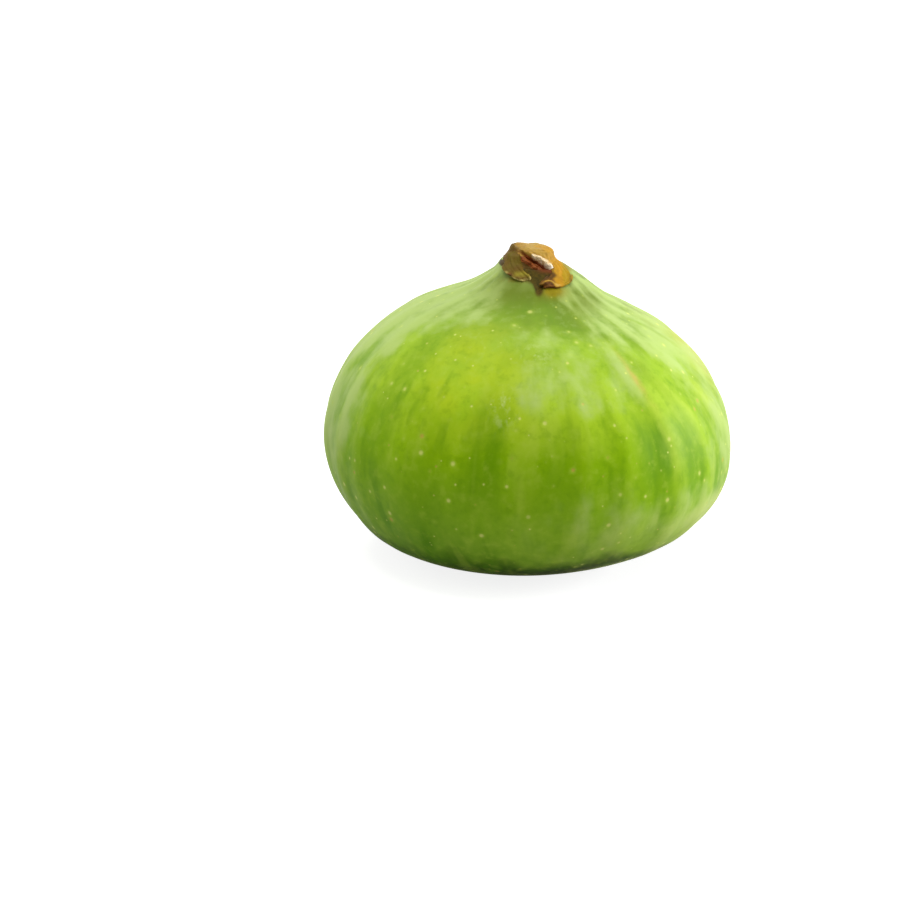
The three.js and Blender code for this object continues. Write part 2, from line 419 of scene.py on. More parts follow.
def new_piece(name, points, faces, notes):
    """A smooth mesh object from points in millimetres. Notes are named values of points for its finish."""
    mesh = bpy.data.meshes.new(name)
    mesh.from_pydata((points * MM).tolist(), [], faces)
    mesh.polygons.foreach_set("use_smooth", [True] * len(mesh.polygons))
    for note, values in notes.items():
        kind = "FLOAT" if values.ndim == 1 else "FLOAT_VECTOR"
        layer = mesh.attributes.new(note, kind, "POINT")
        layer.data.foreach_set("value" if values.ndim == 1 else "vector", values.astype(np.float32).ravel())
    mesh.update()
    piece = bpy.data.objects.new(name, mesh)
    bpy.context.scene.collection.objects.link(piece)
    return piece


def ring_faces(rows, columns):
    """Quads between rows of points that close on themselves, anticlockwise from above, lowest row first."""
    faces = []
    for row in range(rows - 1):
        low, high = row * columns, (row + 1) * columns
        for column in range(columns):
            after = (column + 1) % columns
            faces.append((low + column, low + after, high + after, high + column))
    return faces


def capped(points, notes, faces, row, centre, upward):
    """Closes a turned grid's end by a fan from one row of point numbers to a new point at the centre."""
    pole = len(points)
    points = np.vstack([points, centre])
    notes = {
        note: np.concatenate([values, values[row].mean(axis=0, keepdims=True)])
        for note, values in notes.items()
    }
    for a, b in zip(row, [*row[1:], row[0]]):
        faces.append((a, b, pole) if upward else (b, a, pole))
    return points, notes


def turned_piece(name, grid, notes):
    """A closed piece from a grid of points whose rows run round it, lowest first."""
    rows, columns = grid.shape[:2]
    points = grid.reshape(-1, 3)
    notes = {note: values.reshape(rows * columns, *values.shape[2:]) for note, values in notes.items()}
    faces = ring_faces(rows, columns)
    first, last = list(range(columns)), list(range((rows - 1) * columns, rows * columns))
    points, notes = capped(points, notes, faces, first, points[first].mean(axis=0), False)
    points, notes = capped(points, notes, faces, last, points[last].mean(axis=0), True)
    return new_piece(name, points, faces, notes)


def join_to_fig(piece, node, finish):
    """Gives a piece its finish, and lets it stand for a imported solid."""
    piece.data.materials.append(finish)
    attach(piece, "root")
    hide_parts(node)


# ---- Finishes ----


def paint(red, green, blue):
    """A colour written as 0 to 255 on screen, as Blender's linear values."""
    return tuple(
        value / 12.92 if value <= 0.04045 else ((value + 0.055) / 1.055) ** 2.4
        for value in (red / 255, green / 255, blue / 255)
    )


class Amount:
    """A number, colour or vector on a shader socket. Arithmetic on numbers adds Math nodes."""

    def __init__(self, finish, socket):
        self.finish = finish
        self.socket = socket

    def __add__(self, other):
        return self.finish.maths("ADD", self, other)

    def __sub__(self, other):
        return self.finish.maths("SUBTRACT", self, other)

    def __rsub__(self, other):
        return self.finish.maths("SUBTRACT", other, self)

    def __mul__(self, other):
        return self.finish.maths("MULTIPLY", self, other)

    def __truediv__(self, other):
        return self.finish.maths("DIVIDE", self, other)

    def __rtruediv__(self, other):
        return self.finish.maths("DIVIDE", other, self)

    __radd__ = __add__
    __rmul__ = __mul__

    def beside(self, output):
        """Another output of the same node."""
        return Amount(self.finish, self.socket.node.outputs[output])


class Finish:
    """The node tree of a material or of the world."""

    def __init__(self, owner):
        owner.use_nodes = True
        self.tree = owner.node_tree
        self.tree.nodes.clear()

    def node(self, kind, settings=None, sockets=None, output=0):
        """Adds a node: its settings first, then its sockets by name or number. Gives one output."""
        node = self.tree.nodes.new("ShaderNode" + kind)
        for name, value in (settings or {}).items():
            if name == "stops":
                self.set_stops(node.color_ramp, value)
            else:
                setattr(node, name, value)
        for name, value in (sockets or {}).items():
            if isinstance(value, Amount):
                self.tree.links.new(value.socket, node.inputs[name])
            else:
                node.inputs[name].default_value = value
        return Amount(self, node.outputs[output]) if node.outputs else None

    @staticmethod
    def set_stops(ramp, stops):
        while len(ramp.elements) < len(stops):
            ramp.elements.new(1)
        for element, (position, colour) in zip(ramp.elements, stops):
            element.position = position
            element.color = (*paint(*colour), 1)

    def maths(self, operation, *values):
        return self.node("Math", {"operation": operation}, dict(enumerate(values)))

    def rise(self, value, low, high):
        """0 up to low and 1 from high, or the other way round where low is the greater."""
        sockets = {"Value": value, "From Min": low, "From Max": high}
        return self.node("MapRange", {"interpolation_type": "SMOOTHSTEP"}, sockets)

    def blend(self, share, first, second):
        """The second colour laid over the first by a share."""
        first, second = (value if isinstance(value, Amount) else (*value, 1) for value in (first, second))
        return self.node("Mix", {"data_type": "RGBA"}, {0: share, 6: first, 7: second}, 2)

    def ramp(self, value, stops):
        return self.node("ValToRGB", {"stops": stops}, {0: value})

    def note(self, name, output="Fac"):
        """A named value of the mesh's points."""
        return self.node("Attribute", {"attribute_name": name}, output=output)

    def place(self):
        return self.node("TexCoord", output="Object")

    def stretch(self, vector, scale):
        return self.node("VectorMath", {"operation": "MULTIPLY"}, {0: vector, 1: scale})

    def noise(self, vector, scale, detail, roughness):
        sockets = {"Vector": vector, "Scale": scale, "Detail": detail, "Roughness": roughness}
        return self.node("TexNoise", None, sockets)

    def bump(self, height, distance, strength=1.0):
        """A normal bent by a height, which counts as so many millimetres where it is 1."""
        sockets = {"Height": height, "Distance": distance * MM, "Strength": strength}
        return self.node("Bump", None, sockets)

    def close(self, surface, kind="OutputMaterial"):
        """Ends the tree with a surface."""
        self.node(kind, None, {"Surface": surface})

    def cover(self, sockets):
        """Ends the tree with a principled surface."""
        self.close(self.node("BsdfPrincipled", None, sockets))


def new_finish(name):
    material = bpy.data.materials.new(name)
    return material, Finish(material)


# The skin's green by height, from the eye (0) to the end of the neck (1). The near-black stops at the bottom
# are painted shade where the fig rests on the floor.
SKIN_GREENS_AND_BASE_SHADE = [
    (0, (10, 14, 4)), (0.085, (18, 28, 4)), (0.11, (72, 100, 20)), (0.15, (144, 180, 48)),
    (0.33, (134, 177, 26)), (0.5, (140, 182, 8)), (0.64, (164, 198, 40)), (0.78, (146, 180, 48)),
    (0.88, (104, 136, 34)), (1, (84, 106, 34)),
]

# Fibres from dark to light: in the tear, on its tan lower lip and on its pale upper lip. The pale lip's
# cream is partly a painted highlight along the edge that catches the light.
TEAR_COLOURS = [(0.32, (88, 32, 8)), (0.52, (128, 56, 18)), (0.7, (160, 92, 42))]
TAN_LIP_COLOURS = [(0.35, (92, 36, 10)), (0.55, (130, 66, 26)), (0.7, (184, 116, 66))]
PALE_LIP_AND_HIGHLIGHT_COLOURS = [(0.3, (148, 104, 54)), (0.46, (210, 178, 124)), (0.6, (242, 230, 200))]
# A painted highlight at the right end of the pale lip.
LIP_HIGHLIGHT_COLOUR = paint(244, 238, 224)

STALK_GRAIN_COLOUR = paint(112, 76, 34)
BRACT_GRAIN_COLOUR = paint(84, 56, 24)
# Lighter end of the dark curled tips and of the painted shade on the bracts.
BRACT_DARK_AND_SHADE_COLOUR = paint(104, 62, 20)

# Specks are smaller pores that lie closer together. Of each kind, only a share of the cells has one.
PORE_SHARE = 0.6
SPECK_SHARE = 0.3
SPECK_SPACING = 0.6
SPECK_RADIUS = 0.45
PORE_BROWNED = (0.88, 0.9)

GREEN_GLOSS = (0.8, 1, 0.15, 1)
GREEN_SHEEN = (0.85, 1, 0.35, 1)
DRIED_GLOSS = (1, 0.8, 0.4, 1)


def add_pores(finish, colour, place, skin, spacing, radius, share, browned):
    """Lays pale pores over a colour, on a share of the cells. Gives the colour, and where the pores are."""
    cells = finish.node("TexVoronoi", None, {"Vector": place, "Scale": 1 / spacing})
    chance = finish.node("SeparateColor", None, {0: cells.beside("Color")})
    other = chance.beside(1)
    nearness = cells / ((chance * 0.7 + 0.5) * (radius / spacing))
    shown = finish.rise(other, 1 - share, 1.03 - share)
    pore = finish.rise(nearness, 1.25, 0.3) * shown
    halo = finish.rise(nearness, 2.2, 0.8) * shown
    tone = finish.blend(finish.rise(other, *PORE_BROWNED) * browned, skin.pore_cream, skin.pore_brown)
    colour = finish.blend(halo * 0.2, colour, skin.pale_green)
    return finish.blend(pore * 0.68, colour, tone), pore


def skin_finish(skin):
    """Waxy green skin: long soft streaks, paler ribs, pores, a bloom round the neck and a stain of sap, with
    painted shade low down, between the ribs and round the stalk, and painted light: rim reflection at its
    edges, light low on the right and small highlights.
    """
    material, finish = new_finish("fig_skin_finish")
    note, rise, blend, noise = finish.note, finish.rise, finish.blend, finish.noise
    place = finish.place()
    climb = note("climb", "Vector")
    height = finish.node("SeparateXYZ", None, {0: climb}, 2)
    rib = note("rib")

    clouds = noise(place, 150, 3, 0.55)
    drift = height + (clouds - 0.5) * rise(height, 0.02, 0.25) * 0.24
    # Painted shade: the ramp darkens the skin towards the floor.
    colour = finish.ramp(drift, SKIN_GREENS_AND_BASE_SHADE)
    warm = note("warm") * rise(clouds, 0.3, 0.6)
    colour = blend(warm * 0.8, colour, skin.warm_green)
    colour = blend(note("blush") * 0.5, colour, skin.blush)

    # Long streaks, that thin out towards the neck.
    body = rise(height, 0.9, 0.6)
    strands = noise(finish.stretch(climb, (10, 10, 3.4)), 1, 2, 0.5)
    fine_strands = noise(finish.stretch(climb, (34, 34, 7)), 1, 1, 0.5)
    # Partly painted shade: the valleys darken the flanks of the ribs that face away from the light.
    deep = note("valley") * (rise(strands, 0.3, 0.55) * 0.5 + 0.5)
    streaks = rise(strands, 0.46, 0.28) * 0.45 + rise(fine_strands, 0.5, 0.3) * 0.05
    deep = deep + streaks * body
    # Painted shade: the darker patches deepen the green where less light falls.
    deep = deep + note("dim") * 0.75
    colour = blend(deep * 0.85 * skin.stripes, colour, skin.deep_green_and_shade)
    pale = rise(rib, 0.3, 1) * 0.28 + rise(strands, 0.52, 0.74) * body * 0.45
    colour = blend(pale * 0.65 * skin.stripes, colour, skin.pale_green)

    mottle = noise(place, 620, 3, 0.62)
    fleck = blend(rise(height, 0.7, 0.8), skin.pale_green, skin.bloom_and_light_green)
    colour = blend(rise(mottle, 0.5, 0.72) * 0.2, colour, fleck)
    colour = blend(rise(mottle, 0.5, 0.3) * 0.26, colour, skin.deep_green_and_shade)

    # Pale wax, which is thin and broken towards its edges. Where it lies at the fig's left and right edges,
    # on the right shoulder and low down, it also paints rim reflection, sheen and side light, and its whiter
    # colour low down is painted light.
    wisps = noise(finish.stretch(place, (1, 1, 0.6)), 330, 4, 0.62)
    blotches = noise(finish.stretch(climb, (7, 7, 7)), 1, 1.5, 0.45)
    bloom = note("bloom")
    uneven = (wisps - 0.5) * 1.1 + (blotches - 0.5) * 1.5 + rib * 0.15 - deep * 0.3
    uneven = uneven * (rise(height, 0.15, 0.5) * 0.65 + 0.35)
    cover = rise(bloom + uneven * rise(bloom, 0, 0.3), 0.15, 0.95)
    wax = blend(rise(height, 0.45, 0.25), skin.bloom_and_light_green, skin.low_bloom_and_light)
    colour = blend(cover * 0.8 * skin.bloom, colour, wax)
    # Wax flecks, which also paint small highlights on the front of the fig.
    crust = rise(noise(finish.stretch(place, (1, 1, 0.4)), 1000, 3, 0.6), 0.48, 0.68)
    colour = blend(crust * note("crust") * 0.45, colour, skin.crust)

    # Marks: a healed scar, the pores, and round the stalk greyer skin, stains and dried skin, which are
    # partly painted shade under the stalk and bracts.
    scar = note("scar") * rise(wisps, 0.3, 0.55)
    colour = blend(scar * 0.6, colour, skin.blush)
    spacing, radius = skin.pore_spacing, skin.pore_radius
    colour, pore = add_pores(finish, colour, place, skin, spacing, radius, PORE_SHARE, body)
    spacing, radius = spacing * SPECK_SPACING, radius * SPECK_RADIUS
    colour, speck = add_pores(finish, colour, place, skin, spacing, radius, SPECK_SHARE, body)
    # Partly painted shade: the front of the neck under the bracts is greyer and darker.
    colour = blend(note("dull") * 0.75, colour, skin.dull_shaded_green)
    fibres = noise(place, 1200, 4, 0.65)
    # Painted shadow: a rusty dark line on the skin just under the left bract's edge.
    colour = blend(note("rust") * rise(fibres, 0.3, 0.6) * 0.7, colour, skin.rust)
    sap = blend(fibres, skin.sap_dark, skin.sap_gold)
    colour = blend(note("sap") * 0.9, colour, sap)
    # The dried end of the neck, and painted shade under the stalk's lip and the right bract.
    dried = rise(note("dried") + (fibres - 0.5) * 0.4, 0.1, 0.7)
    dried_tone = blend(rise(fibres, 0.35, 0.65), skin.dried_and_shaded_dark, skin.dried_and_shaded_tan)
    colour = blend(dried, colour, dried_tone)
    colour = blend(note("tear"), colour, skin.dried_red)

    relief = (fine_strands * 0.1 + strands * 0.4) * body + mottle * 0.2 + (pore + speck) * -0.3
    finish.cover({
        "Base Color": colour,
        "Roughness": noise(place, 420, 2, 0.5) * 0.12 + 0.38,
        "IOR": 1.33,
        "Specular IOR Level": 0.25,
        "Specular Tint": GREEN_GLOSS,
        "Sheen Weight": 0.3,
        "Sheen Roughness": 0.2,
        "Sheen Tint": GREEN_SHEEN,
        "Normal": finish.bump(relief, 0.1, 0.6),
    })
    return material


def stalk_finish(dried):
    """Dry ochre stalk, olive on its shaded side, with a red-brown tear between a pale and a tan lip, painted
    shade under the tear, and a pale lip that is partly a painted highlight, with a painted highlight at its
    end.
    """
    material, finish = new_finish("dried_stalk_finish")
    note, rise, blend, noise = finish.note, finish.rise, finish.blend, finish.noise
    place = finish.place()
    grain = noise(place, 1500, 4, 0.65)
    blotches = noise(place, 500, 3, 0.55)
    colour = blend(rise(blotches, 0.35, 0.65), dried.stalk_ochre, dried.stalk_tan)
    colour = blend(note("gold") * 0.8, colour, dried.stalk_gold)
    colour = blend(note("shade"), colour, dried.stalk_olive)
    # Painted shade on the front of the stalk under the tear's lower lip.
    colour = blend(note("burnt"), colour, dried.stalk_shade_under_tear)
    colour = blend(rise(grain, 0.52, 0.3) * 0.4, colour, STALK_GRAIN_COLOUR)

    tear = note("tear")
    fibres = noise(finish.stretch(note("tear_place", "Vector"), (0.9, 5, 1)), 1.6, 4, 0.7)
    colour = blend(tear, colour, finish.ramp(fibres, TEAR_COLOURS))
    tan = rise(note("tan_lip") + (grain - 0.5) * 0.8, 0.35, 0.7)
    colour = blend(tan, colour, finish.ramp(fibres, TAN_LIP_COLOURS))
    # The pale lip's cream is partly a painted highlight along its edge.
    pale = rise(note("pale_lip") + (grain - 0.5) * 0.8, 0.25, 0.65)
    colour = blend(pale, colour, finish.ramp(fibres, PALE_LIP_AND_HIGHLIGHT_COLOURS))
    # Painted highlight at the right end of the pale lip.
    colour = blend(note("lip_end"), colour, LIP_HIGHLIGHT_COLOUR)
    finish.cover({
        "Base Color": colour,
        "Roughness": grain * 0.3 + 0.4,
        "Specular IOR Level": 0.2,
        "Specular Tint": DRIED_GLOSS,
        "Normal": finish.bump(grain * 0.5 + fibres * tear * 0.8 + blotches * 0.4, 0.12),
    })
    return material


def bract_finish(dried):
    """Dried scale: olive-brown with long veins, in places gold, green or dark, and a cream free edge. The
    dark places are curled tips, spots and painted shade under the torn stalk.
    """
    material, finish = new_finish("dried_bract_finish")
    note, rise, blend, noise = finish.note, finish.rise, finish.blend, finish.noise
    place = finish.place()
    grain = noise(place, 1300, 4, 0.6)
    blotches = noise(place, 600, 3, 0.6)
    veins = noise(finish.stretch(note("scale_place", "Vector"), (12, 1.5, 1)), 1, 3, 0.6)
    mixed = rise(blotches * 0.7 + veins * 0.3, 0.4, 0.62)
    colour = blend(mixed, dried.bract_brown, dried.bract_olive)
    colour = blend(note("gold") * 0.95, colour, dried.stalk_gold)
    colour = blend(note("yellow") * 0.85, colour, dried.bract_yellow)
    colour = blend(note("green") * 0.8, colour, dried.bract_green)
    colour = blend(rise(grain, 0.55, 0.3) * 0.25, colour, BRACT_GRAIN_COLOUR)
    colour = blend(note("edge") * rise(grain, 0.25, 0.6), colour, dried.bract_cream)
    burnt = blend(rise(grain, 0.42, 0.62), dried.bract_dark_and_shade, BRACT_DARK_AND_SHADE_COLOUR)
    colour = blend(note("dark"), colour, burnt)
    finish.cover({
        "Base Color": colour,
        "Roughness": grain * 0.3 + 0.45,
        "Specular IOR Level": 0.15,
        "Specular Tint": DRIED_GLOSS,
        "Normal": finish.bump(veins * 0.5 + grain * 0.4 + blotches, 0.1),
    })
    return material


# ---- Settings that a user would change ----


def tint(name, description, colour):
    return FloatVectorProperty(
        name=name, description=description, default=paint(*colour), size=3, min=0, max=1, subtype="COLOR"
    )


def length(name, description, millimetres):
    return FloatProperty(name=name, description=description, default=millimetres * MM, unit="LENGTH")


def factor(name, description):
    return FloatProperty(name=name, description=description, default=1.0, min=0, max=2, subtype="FACTOR")


class FIG_skin_settings(PropertyGroup):
    segments: IntProperty(
        name="Segments", description="Points in one ring of the fruit's mesh", default=440, min=60, max=480
    )
    lumps: length("Lumps", "Height of the skin's broad uneven swellings", 0.1)
    stripes: factor("Stripes", "Strength of the long soft stripes")
    bloom: factor("Bloom", "Strength of the pale waxy bloom")
    pore_spacing: length("Pore spacing", "Size of the cell that one pore may lie in", 2)
    pore_radius: length("Pore radius", "Radius of a middling pore", 0.32)
    # Deep green also colours the painted shade between the ribs and in the darker patches.
    deep_green_and_shade: tint("Deep green", "Skin between the ribs", (88, 138, 4))
    pale_green: tint("Pale green", "Skin on the ribs", (184, 208, 74))
    # The bloom colours also paint rim reflection and light from the side; the low one is whiter as painted
    # light on the lower skin.
    bloom_and_light_green: tint("Bloom colour", "Skin under the waxy bloom", (178, 200, 116))
    # Dull green also paints shade on the front of the neck.
    dull_shaded_green: tint("Dull green", "Greyer skin on the neck", (98, 114, 26))
    low_bloom_and_light: tint("Low bloom colour", "The same near the base", (200, 214, 126))
    # These flecks are partly painted highlights.
    crust: tint("Bloom crust", "Small flecks of thick wax", (218, 230, 156))
    blush: tint("Blush", "Weathered skin on the shoulder and along a rib", (206, 168, 92))
    warm_green: tint("Warm green", "Skin where it ripens first", (184, 204, 26))
    pore_cream: tint("Pores", "A pore", (220, 224, 124))
    pore_brown: tint("Pore middles", "Dried middle of some pores", (190, 158, 72))
    # The dried colours also paint the shade under the stalk's lip.
    dried_and_shaded_dark: tint("Dried skin", "Skin that has dried round the stalk", (44, 26, 2))
    dried_and_shaded_tan: tint("Dried flecks", "Lighter flecks in the dried skin", (74, 52, 8))
    dried_red: tint("Torn skin", "Lower end of the tear, in the dried skin", (92, 38, 14))
    # The colour of the painted shadow under the left bract.
    rust: tint("Rust", "Stained skin under a bract", (132, 104, 14))
    sap_dark: tint("Sap shade", "Dried sap where it is thick", (108, 92, 4))
    sap_gold: tint("Sap", "Thin dried sap", (154, 134, 2))


class FIG_dried_settings(PropertyGroup):
    bract_thickness: length("Bract thickness", "Thickness of a dried bract", 0.22)
    stalk_ochre: tint("Stalk ochre", "Top of the torn stalk", (160, 122, 44))
    stalk_tan: tint("Stalk tan", "Blotches on top of the stalk", (172, 142, 64))
    stalk_gold: tint("Stalk gold", "Smooth side of the stalk", (180, 132, 24))
    stalk_olive: tint("Stalk olive", "Shaded side of the stalk", (106, 82, 28))
    # Painted shade under the tear.
    stalk_shade_under_tear: tint("Stalk burnt", "Dark side of the stalk under the tear", (64, 40, 6))
    bract_olive: tint("Bract olive", "Outer face of a bract", (100, 86, 20))
    bract_brown: tint("Bract brown", "Darker blotches of a bract", (96, 72, 20))
    bract_yellow: tint("Bract yellow", "Thin side of the gold bract", (152, 126, 8))
    bract_green: tint("Bract green", "Where a bract is still greenish", (152, 142, 40))
    # Also the painted shade on the bracts.
    bract_dark_and_shade: tint("Bract dark", "Curled and burnt tips of a bract", (58, 32, 4))
    bract_cream: tint("Bract edge", "Free edge of a bract", (216, 196, 116))


class FIG_stage_settings(PropertyGroup):
    camera_elevation: FloatProperty(
        name="Camera elevation", description="Angle of the camera above the floor",
        default=math.radians(VIEW_DOWN), subtype="ANGLE",
    )
    camera_distance: length("Camera distance", "From the camera to the point it looks at", 500)
    key_power: FloatProperty(
        name="Key light", description="Power of the broad light overhead", default=2.0, min=0, unit="POWER"
    )
    side_power: FloatProperty(
        name="Side light", description="Power of the light on the right", default=1.95, min=0, unit="POWER"
    )
    surround: FloatProperty(
        name="Surround", description="Strength of the even light from all round", default=0.44, min=0
    )


# ---- Pieces ----


class FIG_OT_fruit(Operator):
    """Makes the fruit: a ribbed, leaning body with a neck above and the eye in its resting face"""

    bl_idname = "fig.fruit"
    bl_label = "Fruit"

    def execute(self, context):
        skin = context.scene.fig_skin
        radius, height, azimuth = grid_of(curve_through(BODY_OUTLINE, BODY_STEPS)[1:], skin.segments)
        relief = rib_relief(azimuth, height)
        own = upright(radius, height, azimuth)
        free = smooth(height, *UNEVEN_FROM)
        swelling = waves(own, "skin lumps") * skin.lumps / MM * free
        threads = waves(own * THREAD_STRETCH, "skin threads") * free
        count, fold_height, middle, half_width, top = EYE_FOLDS
        folds = fold_height * np.cos(np.radians(azimuth) * count)
        folds = folds * bell((radius - middle) / half_width) * (height < top)
        stands_at = fruit_radius(radius, azimuth) + relief + swelling + threads
        grid = put_in_place(stands_at, height + folds, azimuth)

        belly = np.radians(rib_azimuth(azimuth, height))
        spread = np.sqrt(radius / radius.max())
        climb = [np.sin(belly) * spread, -np.cos(belly) * spread, height / NECK_HEIGHT]
        end = smooth(height, *NECK_END) * smooth(np.abs(turn(UNDRIED_AZIMUTH, azimuth)), 20, 40)
        sunny = smooth(turn(0, azimuth), *SUNNY_FROM) * (1 - smooth(turn(0, azimuth), *SUNNY_TO))
        torn = np.maximum(tear_marks(grid, 0)[0] * 1.4, neck_patches(grid, "torn"))
        notes = {
            "rib": relief / RIB_FULL_HEIGHT,
            "climb": np.stack(climb, axis=-1),
            "valley": valley_tone_and_shade(azimuth, height),
            "bloom": bloom_and_light_cover(azimuth, height),
            "scar": patches(rib_azimuth(azimuth, height), height, "scar"),
            # Dried neck end, and painted shade under the stalk.
            "dried": np.clip(end * (1 - sunny) + neck_patches(grid, "dried"), 0, 1),
            "tear": np.clip(torn, 0, 1),
            "sap": np.clip(neck_patches(grid, "sap") + end * sunny, 0, 1),
        }
        for name in ("dim", "warm", "crust", "blush"):
            notes[name] = patches(azimuth, height, name)
        for name in ("dull", "rust"):
            notes[name] = neck_patches(grid, name)
        piece = turned_piece("fig_skin_body", grid, notes)
        join_to_fig(piece, "fig_fruit", skin_finish(skin))
        return {"FINISHED"}


def edge_mark(radius, azimuth, mark):
    """A height or a depth on the stalk's upper edge."""
    size, middle, half_width, level, half_depth = mark
    return size * bell(turn(middle, azimuth) / half_width) * bell((radius - level) / half_depth)


class FIG_OT_stalk(Operator):
    """Makes the torn end of the stalk, with the gash across its front"""

    bl_idname = "fig.stalk"
    bl_label = "Stalk end"

    def execute(self, context):
        radius, height, azimuth = grid_of(curve_through(STALK_OUTLINE, STALK_STEPS)[:-1], STALK_SEGMENTS)
        own = upright(radius, height, azimuth)
        rough = waves(own, "stalk grit") + waves(own, "stalk lumps")
        marks = edge_mark(radius, azimuth, SPLINTER) + edge_mark(radius, azimuth, DENT)
        stands_at = radius + rough * smooth(radius, 1, 2.3)
        body = put_in_place(stands_at, height + marks + 0.5 * rough, azimuth)

        along, across = tear_place(body)
        tear, upper, lower = tear_marks(body, waves(own, "tear edges"))
        fibres = waves(np.stack([along * 0.6, across * 4, 0 * along], -1), "tear fibres")
        lips = LIP_HEIGHT * (upper + lower) * (1 + waves(own, "lip fray"))
        outward = lips - (TEAR_DEPTH + fibres) * tear
        angle = np.radians(azimuth)
        out, up = LIP_WAY
        way = np.stack([np.sin(angle) * out, -np.cos(angle) * out, up + 0 * angle], axis=-1)
        grid = body + way * (outward * smooth(height, 39.7, 40.1))[..., None]

        from_front = turn(0, azimuth)
        left = smooth(from_front, -34, -58) * smooth(from_front, -140, -105) * smooth(radius, 1.9, 2.4)
        # Painted shade: the front of the stalk below the tear.
        below = smooth(across, -0.75, -1) * on_front(body) * smooth(along, -3.4, -2.4)
        notes = {
            "tear": np.clip(tear * 1.4, 0, 1),
            # Pale lip, partly a painted highlight.
            "pale_lip": np.clip(upper * 1.5, 0, 1) * smooth(along, -1.7, -0.7),
            # Painted highlight near the right end of the pale lip.
            "lip_end": bell(np.hypot((along - 1.95) / 0.5, (across - 0.5) / 0.32)) * on_front(body),
            "tan_lip": np.clip(lower * 1.5, 0, 1),
            "shade": left,
            "burnt": 0.9 * below,
            "gold": smooth(from_front, 25, 60) * smooth(from_front, 130, 100),
            "tear_place": np.stack([along, across, 0 * across], axis=-1),
        }
        piece = turned_piece("torn_stalk_end", grid, notes)
        join_to_fig(piece, "stalk_stub", stalk_finish(context.scene.fig_dried))
        return {"FINISHED"}


def clasped_radius(height):
    """Radius at a height of what a bract clasps: the neck, and above it the stalk."""
    outline = curve_through([*BODY_OUTLINE[-3:], *STALK_OUTLINE[1:5]], 60)
    return np.interp(height, outline[:, 1], outline[:, 0])


# Dried scales that clasp the neck. A scale's middle azimuth, half the angle it spans and its height are each
# given at its root and tip. Then come the power by which the azimuth changes on the way, how much further
# down its right side reaches, how far its free edge stands off, where between its sides (-1 to 1) it does
# so most, and how far its right corner sinks instead.
BRACTS = {
    "bract_left": ((-59, -21), (28, 27), (41.6, 38.4), 1, -0.07, 0.25, -0.7, 0.5),
    "bract_right": ((69, 8), (25, 28), (40.9, 37.95), 1.5, 0, 0.35, -0.6, 0),
    "bract_back": ((174, 178), (32, 28), (41.1, 38.1), 1, 0, 0.35, 0, 0),
}
BRACT_CORNER = 0.35  # how far the corners of the free edge draw back
BRACT_ROUNDING = 2.5
BRACT_OUTWARD = 40  # how steeply the scales stand off the neck
BRACT_STAND_OFF = 0.06
BRACT_SUNK = 0.4  # how deep their roots and sides lie in it
BRACT_COLUMNS = 84
BRACT_ROWS = 56


def between(ends, share):
    """A value so far on the way from one end to the other."""
    return ends[0] + (ends[1] - ends[0]) * share


def sheet_piece(name, outer, inner, notes):
    """A thin closed piece between two grids of points. Notes hold values of the outer and the inner one."""
    rows, columns = outer.shape[:2]
    count = rows * columns
    points = np.vstack([outer.reshape(count, 3), inner.reshape(count, 3)])
    joined = {
        note: np.concatenate([values.reshape(count, *values.shape[2:]) for values in pair])
        for note, pair in notes.items()
    }
    number = np.arange(count).reshape(rows, columns)
    faces = []
    for upper, lower in zip(number, number[1:]):
        for a, b, c, d in zip(upper, lower, lower[1:], upper[1:]):
            faces.append((a, b, c, d))
            faces.append((a + count, d + count, c + count, b + count))
    rim = [*number[0], *number[1:, -1], *number[-1, -2::-1], *number[-2::-1, 0]]
    for a, b in zip(rim, rim[1:]):
        faces.append((a, b, b + count, a + count))
    faces = [tuple(int(corner) for corner in face) for face in faces]
    return new_piece(name, points, faces, joined)


def bract_notes(node, down, side, points):
    """Where a bract is gold, yellow, green, dark and cream: each kept as values of its points. Dark takes in
    painted shade under the torn stalk, besides curled tips and spots.
    """
    right, up = seen_from_front(points)
    waver = waves(points, "bract marks")
    notes = {name: np.zeros_like(side) for name in ("gold", "yellow", "green", "dark", "edge")}
    if node == "bract_right":
        arch = up + waver - 0.9 * bell((right - 2.5) / 0.95)
        arc = bell((right - 5.5) / 0.17) * smooth(up, 35, 35.6) * smooth(up, 37.8, 37.2)
        curled = smooth(right, 4.35, 3.9) * smooth(arch, 34.8, 34.6)
        # Painted shade on the gold bract under the stalk, and darker at its left end.
        shaded = 0.9 * smooth(right + waver, 3.6, 3) * smooth(arch, 34.88, 35) * smooth(up, 37, 36.6)
        shaded = np.maximum(shaded, 0.7 * smooth(right + waver, 2.2, 1.7))
        notes["gold"] = smooth(side + waver, -1.05, -0.7)
        notes["yellow"] = smooth(right + waver, 4.2, 4.7)
        notes["dark"] = np.maximum.reduce([curled, shaded, 0.55 * arc])
        notes["edge"] = 0.35 * bell((arch - 34.88) / 0.1) * smooth(right, 4.3, 3.9)
    else:
        spot = bell(np.hypot((right + 2.55) / 0.42, (up - 36.5) / 0.28))
        notes["green"] = bell(np.hypot((right + 1.15) / 1.1, (up - 36.56) / 0.36))
        # Painted shade on the right part of the left bract, under the tear.
        notes["dark"] = np.maximum(spot, 0.8 * smooth(right + waver, -0.35, 0.25) * smooth(up, 36.6, 36.9))
        rim = smooth(down, 0.95, 0.98) * smooth(side, 0.8, 0.5)
        notes["edge"] = np.maximum(rim, bell(np.hypot(right + 3.05, up - 36.6) / 0.27)) * (1 - spot)
    return notes


